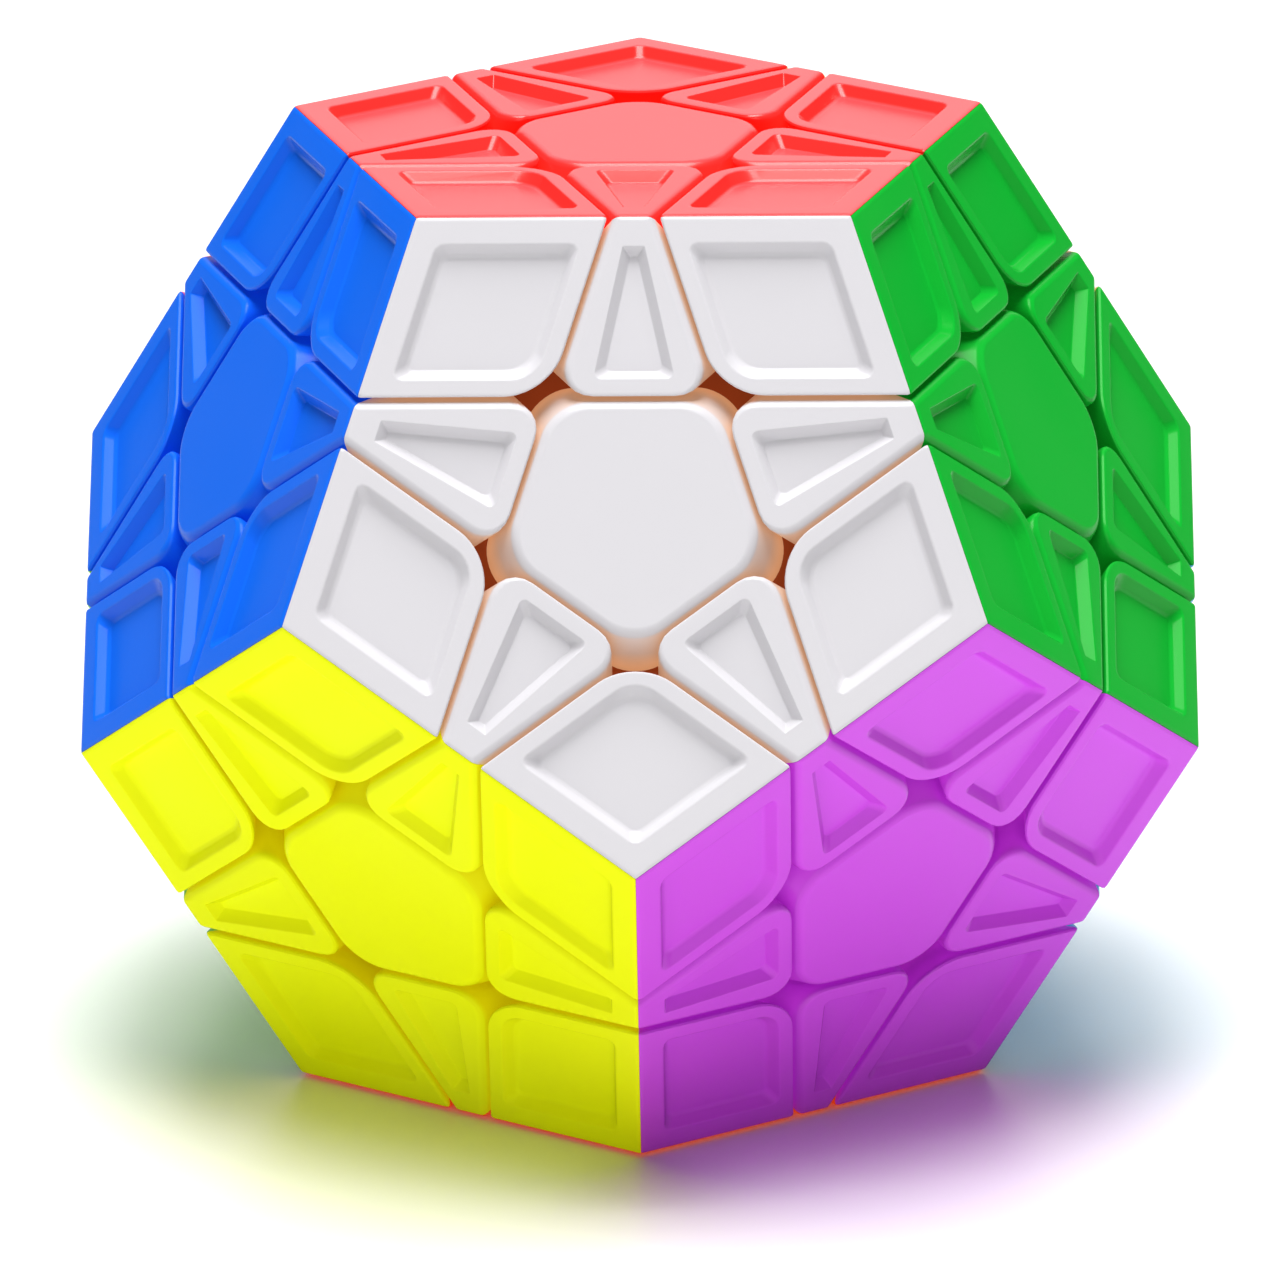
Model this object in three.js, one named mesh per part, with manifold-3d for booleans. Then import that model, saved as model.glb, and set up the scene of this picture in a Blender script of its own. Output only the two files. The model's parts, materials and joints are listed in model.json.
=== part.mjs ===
// A dodecahedron twisty puzzle: twelve turning faces cut into centre, edge and corner pieces.
// Millimetres, +Z up, the origin at the middle of the core.
import * as THREE from "three";
import { mergeVertices } from "three/addons/utils/BufferGeometryUtils.js";
import Module from "manifold-3d";

// Overall size, and the width of an edge tile where it meets the edge of the solid,
// which together set how deep the turning layers go
const FACE_TO_FACE = 75;
const EDGE_TILE_TIP = 2.7;

// Clearance between pieces that slide past one another
const GAP = 0.4;

// The hidden mechanism: necks that carry the feet, the feet, and the core
const NECK_RADIUS = 3.4;
const EDGE_NECK_WIDTH = 3.8;
const FOOT_REACH = 9.6;
const FOOT_THICKNESS = 4;
const CORE_FLAT = 9.2;

// Rounded corners of the tiles, as seen from the front of a face
const CORNER_ROUNDING = 5.5;
const EDGE_ROUNDING = 2.4;
const CENTRE_ROUNDING = 3.6;

// Sunken panels of the tiles
const PANEL_DEPTH = 0.9;
const PANEL_SLOPE = 0.8;
const CORNER_PANEL_OUTER_RIM = 2.2;
const CORNER_PANEL_INNER_RIM = 1.5;
const CORNER_PANEL_CHAMFER = 1.4;
const EDGE_PANEL_OUTER_RIM = 2.4;
const EDGE_PANEL_INNER_RIM = 1.5;
const EDGE_PANEL_TIP_WIDTH = 1.5;
const EDGE_PANEL_BASE_WIDTH = 6.2;

// Walls, openings and the turning parts of a centre
const WALL = 1.7;
const MOULD_HOLE = 1.3;
const EDGE_MOULD_HOLE = 0.9;
const STEM_WALL = 1.4;
const SOCKET_WALL = 1.8;
const STEM_SEAT = 0.4;
const DISH_THICKNESS = 1.8;
const DISH_HALF_ANGLE = 28.5;
const POST_LENGTH = 5;
const POST_CLEARANCE = 0.4;
const SCREW_HOLE = 1.4;
const THREAD_HOLE = 1.1;
const WEB_THICKNESS = 2.2;
const SPRING_POCKET_ROOF = 2.4;
const ROUND_SIDES = 10;
const BORE_SIDES = 8;

// Angles of a regular dodecahedron: between neighbouring faces' axes, and a face's axis
// against the axes of its edges, its corners and the faces past an edge's ends
const FACE_COS = 1 / Math.sqrt(5);
const FACE_SIN = 2 / Math.sqrt(5);
const CORNER_COS = Math.sqrt((5 + 2 * Math.sqrt(5)) / 15);
const CORNER_SIN = Math.sqrt(1 - CORNER_COS ** 2);
const END_COS = Math.sqrt((1 - FACE_COS) / 2);
const END_SIN = Math.sqrt(1 - END_COS ** 2);
const FIFTH = (2 * Math.PI) / 5;

// Planes that bound the pieces, measured from the middle along a face's, edge's or corner's axis
const HALF_GAP = GAP / 2;
const FACE_DISTANCE = FACE_TO_FACE / 2;
const FACE_APOTHEM = (FACE_DISTANCE * (1 - FACE_COS)) / FACE_SIN;
const EDGE_TILE_REACH = FACE_APOTHEM * Math.cos(FIFTH) + (EDGE_TILE_TIP / 2) * Math.sin(FIFTH);
const CUT = FACE_COS * FACE_DISTANCE + FACE_SIN * EDGE_TILE_REACH + HALF_GAP;
const FOOT_ROOF = (CUT + HALF_GAP + NECK_RADIUS * CORNER_SIN) / CORNER_COS;
const FOOT_CUT = END_COS * FOOT_ROOF + (END_SIN * EDGE_NECK_WIDTH) / 2 + HALF_GAP;
const FOOT_TIP = FOOT_REACH / Math.cos(Math.PI / 6);
const FOOT_TOP = Math.sqrt((FOOT_ROOF - GAP) ** 2 - FOOT_TIP ** 2);
const FOOT_UNDERSIDE = FOOT_TOP - FOOT_THICKNESS;
const DISH_TOP = FOOT_UNDERSIDE - GAP;

// A centre's stem takes the room that the layers leave round it
const STEM_ROOM = (FOOT_CUT - HALF_GAP - FACE_COS * FOOT_ROOF) / FACE_SIN;
const STEM_RADIUS = STEM_ROOM - GAP;
const SPRING_POCKET = STEM_RADIUS - STEM_WALL;
const SOCKET_RADIUS = STEM_RADIUS - SOCKET_WALL;
const POST_RADIUS = SOCKET_RADIUS - POST_CLEARANCE;

// Twelve faces: colour name, side (1 above the middle, -1 below), azimuth in degrees, colour
const FACES = [
  ["red", 1, null, 0xff6a5f],
  ["white", 1, -90, 0xf2f0f0],
  ["green", 1, -18, 0x18a832],
  ["cream", 1, 54, 0xf3e3a8],
  ["pink", 1, 126, 0xff8fb8],
  ["blue", 1, 198, 0x1668e8],
  ["purple", -1, -54, 0xb848d8],
  ["skyblue", -1, 18, 0x7fd0f5],
  ["grey", -1, 90, 0x8c9096],
  ["lime", -1, 162, 0x8ee03a],
  ["yellow", -1, 234, 0xeef000],
  ["orange", -1, null, 0xe8501c],
];

const wasm = await Module();
wasm.setup();

function faceNormal(side, azimuth) {
  if (azimuth === null) {
    return new THREE.Vector3(0, 0, side);
  }
  const turn = THREE.MathUtils.degToRad(azimuth);
  const x = FACE_SIN * Math.cos(turn);
  const y = FACE_SIN * Math.sin(turn);
  return new THREE.Vector3(x, y, side * FACE_COS);
}

const NAMES = FACES.map((face) => face[0]);
const NORMALS = FACES.map((face) => faceNormal(face[1], face[2]));
const COLOURS = FACES.map((face) => face[3]);

function areNeighbours(a, b) {
  return a !== b && NORMALS[a].dot(NORMALS[b]) > 0.4;
}

// Solids

function toSolid(geometry) {
  const bare = geometry.index ? geometry.toNonIndexed() : geometry.clone();
  bare.deleteAttribute("normal");
  bare.deleteAttribute("uv");
  const merged = mergeVertices(bare, 1e-4);
  return new wasm.Manifold(
    new wasm.Mesh({
      numProp: 3,
      vertProperties: merged.attributes.position.array,
      triVerts: new Uint32Array(merged.index.array),
    }),
  );
}

function toGeometry(solid) {
  const mesh = solid.getMesh();
  const geometry = new THREE.BufferGeometry();
  const positions = new Float32Array(mesh.vertProperties);
  geometry.setAttribute("position", new THREE.BufferAttribute(positions, 3));
  geometry.setIndex(new THREE.BufferAttribute(new Uint32Array(mesh.triVerts), 1));
  geometry.computeVertexNormals();
  return geometry;
}

// The side of a plane where direction . x <= offset.
function halfSpace(direction, offset) {
  return { direction, offset };
}

function plus(direction, offset) {
  return halfSpace(direction.clone(), offset);
}

function minus(direction, offset) {
  return halfSpace(direction.clone().negate(), -offset);
}

function halfSpaceBox({ direction, offset }) {
  const size = FACE_TO_FACE * 4;
  const unit = direction.clone().normalize();
  const box = new THREE.BoxGeometry(size, size, size);
  box.translate(0, 0, offset / direction.length() - size / 2);
  const up = new THREE.Vector3(0, 0, 1);
  box.applyQuaternion(new THREE.Quaternion().setFromUnitVectors(up, unit));
  return toSolid(box);
}

function convex(halfSpaces) {
  const size = FACE_TO_FACE * 2;
  const start = toSolid(new THREE.BoxGeometry(size, size, size));
  return halfSpaces.reduce((solid, side) => solid.intersect(halfSpaceBox(side)), start);
}

// Planes that round the meeting line of two sides whose directions are unit vectors.
function rounding(sideA, sideB, radius, facets) {
  const planes = [];
  const between = sideA.direction.angleTo(sideB.direction);
  for (let step = 1; step <= facets; step += 1) {
    const angle = (between * step) / (facets + 1);
    const shareA = Math.sin(between - angle) / Math.sin(between);
    const shareB = Math.sin(angle) / Math.sin(between);
    const direction = sideA.direction.clone().multiplyScalar(shareA);
    direction.addScaledVector(sideB.direction, shareB);
    const axis = shareA * (sideA.offset - radius) + shareB * (sideB.offset - radius);
    planes.push(halfSpace(direction, axis + radius));
  }
  return planes;
}

// A round bar along a direction, from one distance to another.
function bar(direction, radius, from, to, sides) {
  const geometry = new THREE.CylinderGeometry(radius, radius, to - from, sides);
  geometry.rotateX(Math.PI / 2);
  geometry.translate(0, 0, (from + to) / 2);
  const up = new THREE.Vector3(0, 0, 1);
  const turn = new THREE.Quaternion().setFromUnitVectors(up, direction);
  geometry.applyQuaternion(turn);
  return toSolid(geometry);
}

// Sunken panels

// The direction in the plane of a face that points at one of its neighbours.
function towards(face, neighbour) {
  const flat = neighbour.clone().addScaledVector(face, -neighbour.dot(face));
  return flat.normalize();
}

// How far out along that direction a plane at a given distance on the neighbour's axis cuts the face.
function reachOnFace(planeDistance) {
  return (planeDistance - FACE_COS * FACE_DISTANCE) / FACE_SIN;
}

// A wall of a panel: it crosses the face at the given reach and slopes inwards to the floor.
function panelWall(face, outward, reach) {
  const lean = PANEL_SLOPE / PANEL_DEPTH;
  const direction = outward.clone().addScaledVector(face, -lean);
  return halfSpace(direction, reach - lean * FACE_DISTANCE);
}

function cornerPanel(face, first, second) {
  const outer = reachOnFace(FACE_DISTANCE) - CORNER_PANEL_OUTER_RIM;
  const inner = reachOnFace(CUT + HALF_GAP) + CORNER_PANEL_INNER_RIM;
  const a = towards(face, first);
  const b = towards(face, second);
  const middle = a.clone().add(b).normalize();
  const nearest = inner / Math.cos(Math.PI / 5);
  return convex([
    minus(face, FACE_DISTANCE - PANEL_DEPTH),
    plus(face, FACE_DISTANCE + 1),
    panelWall(face, a, outer),
    panelWall(face, b, outer),
    panelWall(face, a.clone().negate(), -inner),
    panelWall(face, b.clone().negate(), -inner),
    panelWall(face, middle.clone().negate(), -nearest - CORNER_PANEL_CHAMFER),
  ]);
}

function edgePanel(face, neighbour) {
  const outward = towards(face, neighbour);
  const along = new THREE.Vector3().crossVectors(face, outward);
  const tip = reachOnFace(FACE_DISTANCE) - EDGE_PANEL_OUTER_RIM;
  const base = reachOnFace(CUT + HALF_GAP) + EDGE_PANEL_INNER_RIM;
  const taper = (EDGE_PANEL_BASE_WIDTH - EDGE_PANEL_TIP_WIDTH) / 2 / (tip - base);
  const scale = 1 / Math.hypot(1, taper);
  const reach = (EDGE_PANEL_TIP_WIDTH / 2 + taper * tip) * scale;
  const sides = [1, -1].map((sign) => {
    const out = along.clone().multiplyScalar(sign * scale);
    out.addScaledVector(outward, taper * scale);
    return panelWall(face, out, reach);
  });
  return convex([
    minus(face, FACE_DISTANCE - PANEL_DEPTH),
    plus(face, FACE_DISTANCE + 1),
    panelWall(face, outward, tip),
    panelWall(face, outward.clone().negate(), -base),
    ...sides,
  ]);
}

// Pieces

function cornerPiece(normals) {
  const axis = normals[0].clone().add(normals[1]).add(normals[2]).normalize();
  const cuts = normals.map((n) => minus(n, CUT + HALF_GAP));
  const skins = normals.map((n) => plus(n, FACE_DISTANCE));
  const rounds = [0, 1, 2].flatMap((i) =>
    rounding(cuts[i], cuts[(i + 1) % 3], CORNER_ROUNDING, 2),
  );
  const block = convex([...cuts, ...skins, ...rounds]);
  const inside = convex([
    ...normals.map((n) => minus(n, CUT + HALF_GAP + WALL)),
    ...normals.map((n) => plus(n, FACE_DISTANCE - PANEL_DEPTH - WALL)),
    minus(axis, FOOT_ROOF + WALL),
  ]);
  const neck = bar(axis, NECK_RADIUS, FOOT_UNDERSIDE, FOOT_ROOF + 2 * WALL, 6);
  const foot = convex([
    ...normals.map((n) => minus(n, FOOT_CUT + HALF_GAP)),
    ...normals.map((n) => plus(towards(axis, n), FOOT_REACH)),
    plus(axis, FOOT_TOP),
    minus(axis, FOOT_UNDERSIDE),
  ]);
  const hole = bar(axis, MOULD_HOLE, FOOT_UNDERSIDE - 1, FACE_DISTANCE, 6);
  let piece = block.add(neck).add(foot).subtract(inside).subtract(hole);
  for (let i = 0; i < 3; i += 1) {
    const panel = cornerPanel(normals[i], normals[(i + 1) % 3], normals[(i + 2) % 3]);
    piece = piece.subtract(panel);
  }
  return piece;
}

// normals: the edge's own two faces, then the two faces past its ends.
function edgePiece(normals) {
  const [a, b, c, d] = normals;
  const axis = a.clone().add(b).normalize();
  const own = [minus(a, CUT + HALF_GAP), minus(b, CUT + HALF_GAP)];
  const ends = [plus(c, CUT - HALF_GAP), plus(d, CUT - HALF_GAP)];
  const skins = [plus(a, FACE_DISTANCE), plus(b, FACE_DISTANCE)];
  const rounds = own.flatMap((side) =>
    ends.flatMap((end) => rounding(side, end, EDGE_ROUNDING, 1)),
  );
  const head = convex([...own, ...ends, ...skins, ...rounds, minus(axis, FOOT_ROOF)]);
  const narrow = [plus(c, FOOT_CUT - HALF_GAP), plus(d, FOOT_CUT - HALF_GAP)];
  const neck = convex([
    ...own,
    ...narrow,
    minus(axis, FOOT_UNDERSIDE),
    plus(axis, FOOT_ROOF + WALL),
  ]);
  const foot = convex([
    minus(a, FOOT_CUT + HALF_GAP),
    minus(b, FOOT_CUT + HALF_GAP),
    ...narrow,
    plus(towards(axis, a), FOOT_REACH),
    plus(towards(axis, b), FOOT_REACH),
    plus(axis, FOOT_TOP),
    minus(axis, FOOT_UNDERSIDE),
  ]);
  const inside = convex([
    minus(a, CUT + HALF_GAP + WALL),
    minus(b, CUT + HALF_GAP + WALL),
    plus(c, CUT - HALF_GAP - WALL),
    plus(d, CUT - HALF_GAP - WALL),
    plus(a, FACE_DISTANCE - PANEL_DEPTH - WALL),
    plus(b, FACE_DISTANCE - PANEL_DEPTH - WALL),
    minus(axis, FOOT_ROOF + WALL),
  ]);
  const hole = bar(axis, EDGE_MOULD_HOLE, FOOT_UNDERSIDE - 1, FOOT_ROOF + 2 * WALL, 6);
  const solid = head.add(neck).add(foot).subtract(inside).subtract(hole);
  return solid.subtract(edgePanel(a, b)).subtract(edgePanel(b, a));
}

function dish(normal) {
  const steps = [0.27, 0.6, 1];
  const profile = [];
  for (const step of steps) {
    const angle = THREE.MathUtils.degToRad(DISH_HALF_ANGLE * step);
    profile.push([DISH_TOP * Math.sin(angle), DISH_TOP * Math.cos(angle)]);
  }
  for (const step of steps.slice().reverse()) {
    const angle = THREE.MathUtils.degToRad(DISH_HALF_ANGLE * step);
    const under = DISH_TOP - DISH_THICKNESS;
    profile.push([under * Math.sin(angle), under * Math.cos(angle)]);
  }
  profile.push(profile[0]);
  const points = profile.reverse().map(([x, y]) => new THREE.Vector2(x, y));
  const geometry = new THREE.LatheGeometry(points, ROUND_SIDES);
  geometry.rotateX(Math.PI / 2);
  const up = new THREE.Vector3(0, 0, 1);
  const turn = new THREE.Quaternion().setFromUnitVectors(up, normal);
  geometry.applyQuaternion(turn);
  return toSolid(geometry);
}

// normals: the centre's own face, then its five neighbours in turn round it.
function centrePiece(normals) {
  const [own, ...around] = normals;
  const sides = around.map((n) => plus(n, CUT - HALF_GAP));
  const rounds = sides.flatMap((side, i) =>
    rounding(side, sides[(i + 1) % sides.length], CENTRE_ROUNDING, 3),
  );
  const head = convex([plus(own, FACE_DISTANCE), minus(own, FOOT_ROOF), ...sides, ...rounds]);
  const seat = CORE_FLAT + STEM_SEAT;
  const web = CORE_FLAT + POST_LENGTH + POST_CLEARANCE;
  const roof = FACE_DISTANCE - SPRING_POCKET_ROOF;
  const stem = bar(own, STEM_RADIUS, seat, FOOT_ROOF + 1, ROUND_SIDES);
  const socket = bar(own, SOCKET_RADIUS, seat - 1, web, BORE_SIDES);
  const shaft = bar(own, SCREW_HOLE, web - 1, roof, BORE_SIDES);
  const pocket = bar(own, SPRING_POCKET, web + WEB_THICKNESS, roof, BORE_SIDES);
  const body = head.add(stem).add(dish(own));
  return body.subtract(socket).subtract(shaft).subtract(pocket);
}

function coreBody() {
  const block = convex(NORMALS.map((n) => plus(n, CORE_FLAT)));
  const posts = NORMALS.map((n) => bar(n, POST_RADIUS, 1, CORE_FLAT + POST_LENGTH, BORE_SIDES));
  const threads = NORMALS.map((n) =>
    bar(n, THREAD_HOLE, CORE_FLAT - 1, CORE_FLAT + POST_LENGTH + 1, 6),
  );
  const solid = posts.reduce((all, post) => all.add(post), block);
  return threads.reduce((all, thread) => all.subtract(thread), solid);
}

// Where each piece goes

function neighboursInTurn(face) {
  const around = NORMALS.map((_, i) => i).filter((i) => areNeighbours(face, i));
  const start = towards(NORMALS[face], NORMALS[around[0]]);
  const side = new THREE.Vector3().crossVectors(NORMALS[face], start);
  const bearing = (i) => Math.atan2(NORMALS[i].dot(side), NORMALS[i].dot(start));
  return around.sort((a, b) => ((bearing(a) + 7) % 6.28) - ((bearing(b) + 7) % 6.28));
}

function basis(first, second) {
  const third = new THREE.Vector3().crossVectors(first, second);
  return new THREE.Matrix4().makeBasis(first, second, third);
}

// The turn that carries the first slot's pair of faces onto another slot's pair.
function turnBetween(from, to) {
  const start = basis(NORMALS[from[0]], NORMALS[from[1]]).invert();
  const finish = basis(NORMALS[to[0]], NORMALS[to[1]]);
  return new THREE.Quaternion().setFromRotationMatrix(finish.multiply(start));
}

function edgeSlots() {
  const slots = [];
  NAMES.forEach((_, a) => {
    NAMES.forEach((__, b) => {
      if (a < b && areNeighbours(a, b)) {
        slots.push([a, b]);
      }
    });
  });
  return slots;
}

// Each corner's faces run the same way round.
function cornerSlots() {
  const slots = [];
  for (const [a, b] of edgeSlots()) {
    for (let c = b + 1; c < NAMES.length; c += 1) {
      if (areNeighbours(a, c) && areNeighbours(b, c)) {
        const side = new THREE.Vector3().crossVectors(NORMALS[a], NORMALS[b]);
        slots.push(side.dot(NORMALS[c]) > 0 ? [a, b, c] : [a, c, b]);
      }
    }
  }
  return slots;
}

function endFaces([a, b]) {
  return NORMALS.map((_, i) => i).filter((i) => areNeighbours(a, i) && areNeighbours(b, i));
}

const EDGES = edgeSlots();
const CORNERS = cornerSlots();
const FIRST_RING = [0, ...neighboursInTurn(0)];

const cornerSolid = cornerPiece(CORNERS[0].map((i) => NORMALS[i]));
const edgeSolid = edgePiece([...EDGES[0], ...endFaces(EDGES[0])].map((i) => NORMALS[i]));
const centreSolid = centrePiece(FIRST_RING.map((i) => NORMALS[i]));

const cornerGeometry = toGeometry(cornerSolid);
const edgeGeometry = toGeometry(edgeSolid);
const centreGeometry = toGeometry(centreSolid);

// Three places where two pieces that never part in this model are made as one body.

function placed(solid, quaternion) {
  return toSolid(toGeometry(solid).applyQuaternion(quaternion));
}

function tie(position, size) {
  const box = new THREE.BoxGeometry(size, size, size);
  box.translate(position.x, position.y, position.z);
  return toSolid(box);
}

function coreWithCentre(face) {
  const turn = turnBetween([0, FIRST_RING[1]], [face, neighboursInTurn(face)[0]]);
  const sideways = towards(NORMALS[face], NORMALS[neighboursInTurn(face)[0]]);
  const offset = (SOCKET_RADIUS + STEM_RADIUS) / 2;
  const spot = NORMALS[face].clone().multiplyScalar(CORE_FLAT + STEM_SEAT / 2);
  const left = tie(spot.clone().addScaledVector(sideways, offset), 1.4);
  const right = tie(spot.clone().addScaledVector(sideways, -offset), 1.4);
  return coreBody().add(placed(centreSolid, turn)).add(left).add(right);
}

function edgeWithCorner(edge, past) {
  const corner = CORNERS.find((slot) => [...edge, past].every((i) => slot.includes(i)));
  const axis = NORMALS[edge[0]].clone().add(NORMALS[edge[1]]).normalize();
  const along = towards(axis, NORMALS[past]);
  const depth = (FOOT_TOP + FOOT_UNDERSIDE) / 2;
  const rise = axis.dot(NORMALS[past]);
  const reach = (FOOT_CUT - depth * rise) / along.dot(NORMALS[past]);
  const spot = axis.clone().multiplyScalar(depth).addScaledVector(along, reach);
  return placed(edgeSolid, turnBetween(EDGES[0], edge))
    .add(placed(cornerSolid, turnBetween(CORNERS[0], corner)))
    .add(tie(spot, 2));
}

const puzzle = new THREE.Group();

function addMesh(name, geometry, colour, quaternion) {
  const material = new THREE.MeshStandardMaterial({ color: colour, roughness: 0.35, metalness: 0 });
  const mesh = new THREE.Mesh(geometry, material);
  mesh.name = name;
  if (quaternion) {
    mesh.quaternion.copy(quaternion);
  }
  puzzle.add(mesh);
}

function indexOf(name) {
  return NAMES.indexOf(name);
}

const BOTTOM = indexOf("orange");
const JOINED_EDGES = [
  ["grey", "lime"],
  ["skyblue", "grey"],
].map((pair) => pair.map(indexOf));

function isJoinedEdge(slot) {
  return JOINED_EDGES.some((pair) => pair.every((i) => slot.includes(i)));
}

function pieceName(kind, slot) {
  const order = slot.slice().sort((a, b) => a - b);
  return [kind, ...order.map((i) => NAMES[i])].join("_");
}

NAMES.forEach((name, i) => {
  if (i !== BOTTOM) {
    const turn = turnBetween([0, FIRST_RING[1]], [i, neighboursInTurn(i)[0]]);
    addMesh("centre_" + name, centreGeometry, COLOURS[i], turn);
  }
});

for (const slot of EDGES) {
  if (isJoinedEdge(slot)) {
    const both = toGeometry(edgeWithCorner(slot, BOTTOM));
    addMesh(pieceName("edge", slot) + "_with_corner", both, COLOURS[slot[0]]);
  } else {
    addMesh(pieceName("edge", slot), edgeGeometry, COLOURS[slot[0]], turnBetween(EDGES[0], slot));
  }
}

for (const slot of CORNERS) {
  if (!(slot.includes(BOTTOM) && isJoinedEdge(slot))) {
    const turn = turnBetween(CORNERS[0], slot);
    addMesh(pieceName("corner", slot), cornerGeometry, COLOURS[slot[0]], turn);
  }
}

addMesh("core_with_orange_centre", toGeometry(coreWithCentre(BOTTOM)), COLOURS[BOTTOM]);

export default puzzle;
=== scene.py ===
import json
import math

import bmesh
import bpy
from mathutils import Matrix, Vector


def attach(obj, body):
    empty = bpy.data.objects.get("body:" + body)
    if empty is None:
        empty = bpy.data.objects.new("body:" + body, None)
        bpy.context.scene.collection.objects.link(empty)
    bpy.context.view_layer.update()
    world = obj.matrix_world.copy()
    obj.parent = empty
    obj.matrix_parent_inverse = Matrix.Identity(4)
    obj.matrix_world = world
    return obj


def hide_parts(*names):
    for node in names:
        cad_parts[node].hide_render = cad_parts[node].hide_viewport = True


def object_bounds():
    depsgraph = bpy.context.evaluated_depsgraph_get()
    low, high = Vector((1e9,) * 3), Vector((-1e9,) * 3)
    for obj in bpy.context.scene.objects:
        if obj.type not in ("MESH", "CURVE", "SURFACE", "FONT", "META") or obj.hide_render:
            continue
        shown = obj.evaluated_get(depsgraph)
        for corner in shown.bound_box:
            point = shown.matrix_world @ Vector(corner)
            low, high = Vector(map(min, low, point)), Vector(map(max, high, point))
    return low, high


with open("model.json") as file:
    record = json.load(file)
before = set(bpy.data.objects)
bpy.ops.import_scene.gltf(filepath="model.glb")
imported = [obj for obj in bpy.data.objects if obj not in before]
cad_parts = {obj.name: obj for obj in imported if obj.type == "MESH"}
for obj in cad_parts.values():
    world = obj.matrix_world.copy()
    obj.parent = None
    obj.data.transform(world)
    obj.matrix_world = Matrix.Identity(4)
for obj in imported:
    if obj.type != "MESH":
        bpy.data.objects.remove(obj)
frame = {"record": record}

cadLow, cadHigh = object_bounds()
mm = 0.001

# what the pieces are cut from, how near counts as the same, and cosines for level and for sloping faces
cutting = {
    "rawBlock": 120 * mm,
    "toolProud": 1 * mm,
    "bisectDistance": 1e-8,
    "mergeDistance": 1e-7,
    "onPlane": 0.002 * mm,
    "onOutline": 0.05 * mm,
    "level": 0.999,
    "sloping": 0.95,
}

# sizes of the puzzle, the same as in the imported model
puzzle = {
    "faceDistance": cadHigh.z,
    "edgeTileTip": 2.7 * mm,
    "gap": 0.4 * mm,
    "neckRadius": 3.4 * mm,
    "edgeNeckWidth": 3.8 * mm,
    "footReach": 9.6 * mm,
    "footThickness": 4 * mm,
    "coreFlat": 9.2 * mm,
    "stemWall": 1.4 * mm,
    "socketWall": 1.8 * mm,
    "dishThickness": 1.8 * mm,
    "dishHalfAngle": math.radians(28.5),
    "postLength": 5 * mm,
    "seam": 0.02 * mm,
}

faceCos, faceSin = 1 / math.sqrt(5), 2 / math.sqrt(5)
cornerCos = math.sqrt((5 + 2 * math.sqrt(5)) / 15)
cornerSin = math.sqrt(1 - cornerCos ** 2)
endCos = math.sqrt((1 - faceCos) / 2)
endSin = math.sqrt(1 - endCos ** 2)
fifth = 2 * math.pi / 5

# planes between the pieces, measured from the middle
halfGap = puzzle["gap"] / 2
faceDistance = puzzle["faceDistance"]
faceApothem = faceDistance * (1 - faceCos) / faceSin
tileReach = faceApothem * math.cos(fifth) + puzzle["edgeTileTip"] / 2 * math.sin(fifth)
cutPlane = faceCos * faceDistance + faceSin * tileReach + halfGap
footRoof = (cutPlane + halfGap + puzzle["neckRadius"] * cornerSin) / cornerCos
footCut = endCos * footRoof + endSin * puzzle["edgeNeckWidth"] / 2 + halfGap
footTip = puzzle["footReach"] / math.cos(math.pi / 6)
footTop = math.sqrt((footRoof - puzzle["gap"]) ** 2 - footTip ** 2)
footUnderside = footTop - puzzle["footThickness"]
dishTop = footUnderside - puzzle["gap"]
innerReach = (cutPlane + halfGap - faceCos * faceDistance) / faceSin
stemRadius = (footCut - halfGap - faceCos * footRoof) / faceSin - puzzle["gap"]

# each face: side of the middle, azimuth of its axis, colour of the tile, painted shade colours for the seams
# and deep inside (the face's own plastic darkened, tan for white, also tinting the painted glow there),
# shine, share of the painted seam shade laid on slopes, share of the tile colour that glows as painted light
faceFacts = {
    "red": (1, None, "FF464A", "F02010", "E01808", 0.4, 0.7, 0),
    "white": (1, -90, "D1CFD3", "D2A47A", "94421E", 0.3, 0.0, 0),
    "green": (1, -18, "00B42E", "067A1A", "033A0A", 0.1, 0.25, 0),
    "cream": (1, 54, "F7E9A6", "D0A24A", "7A4A10", 0.3, 0.2, 0),
    "pink": (1, 126, "FF8DBB", "C83A78", "801A48", 0.3, 0.2, 0),
    "blue": (1, 198, "006AF0", "0848C8", "04205E", 0.1, 0.25, 0),
    "purple": (-1, -54, "D04CE4", "B42CC0", "541066", 0.2, 0.15, 0),
    "skyblue": (-1, 18, "74CBF5", "2C86B4", "124A68", 0.3, 0.2, 0),
    "grey": (-1, 90, "8B8F96", "4A4E54", "26282C", 0.3, 0.2, 0),
    "lime": (-1, 162, "8BE236", "4E9A10", "265204", 0.3, 0.2, 0),
    # painted light: the last column makes yellow and orange tiles glow, lifting them brighter than the lamps
    # make them
    "yellow": (-1, 234, "EAF200", "C4B000", "8A7A00", 0.02, 0.12, 0.7),
    "orange": (-1, None, "F05A1C", "B43A08", "601C02", 0.3, 0.2, 2),
}
faceNames = list(faceFacts)


def faceAxis(name):
    side, azimuth = faceFacts[name][:2]
    if azimuth is None:
        return Vector((0, 0, side))
    turn = math.radians(azimuth)
    return Vector((faceSin * math.cos(turn), faceSin * math.sin(turn), side * faceCos))


axes = {name: faceAxis(name) for name in faceNames}


def areNeighbours(a, b):
    return a != b and axes[a].dot(axes[b]) > faceCos / 2


def edgeSlots():
    pairs = [(a, b) for i, a in enumerate(faceNames) for b in faceNames[i + 1:]]
    return [pair for pair in pairs if areNeighbours(*pair)]


def cornerSlots():  # faces run the same way round every corner
    slots = []
    for a, b in edgeSlots():
        for c in faceNames[faceNames.index(b) + 1:]:
            if areNeighbours(a, c) and areNeighbours(b, c):
                slots.append((a, b, c) if axes[a].cross(axes[b]).dot(axes[c]) > 0 else (a, c, b))
    return slots


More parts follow.
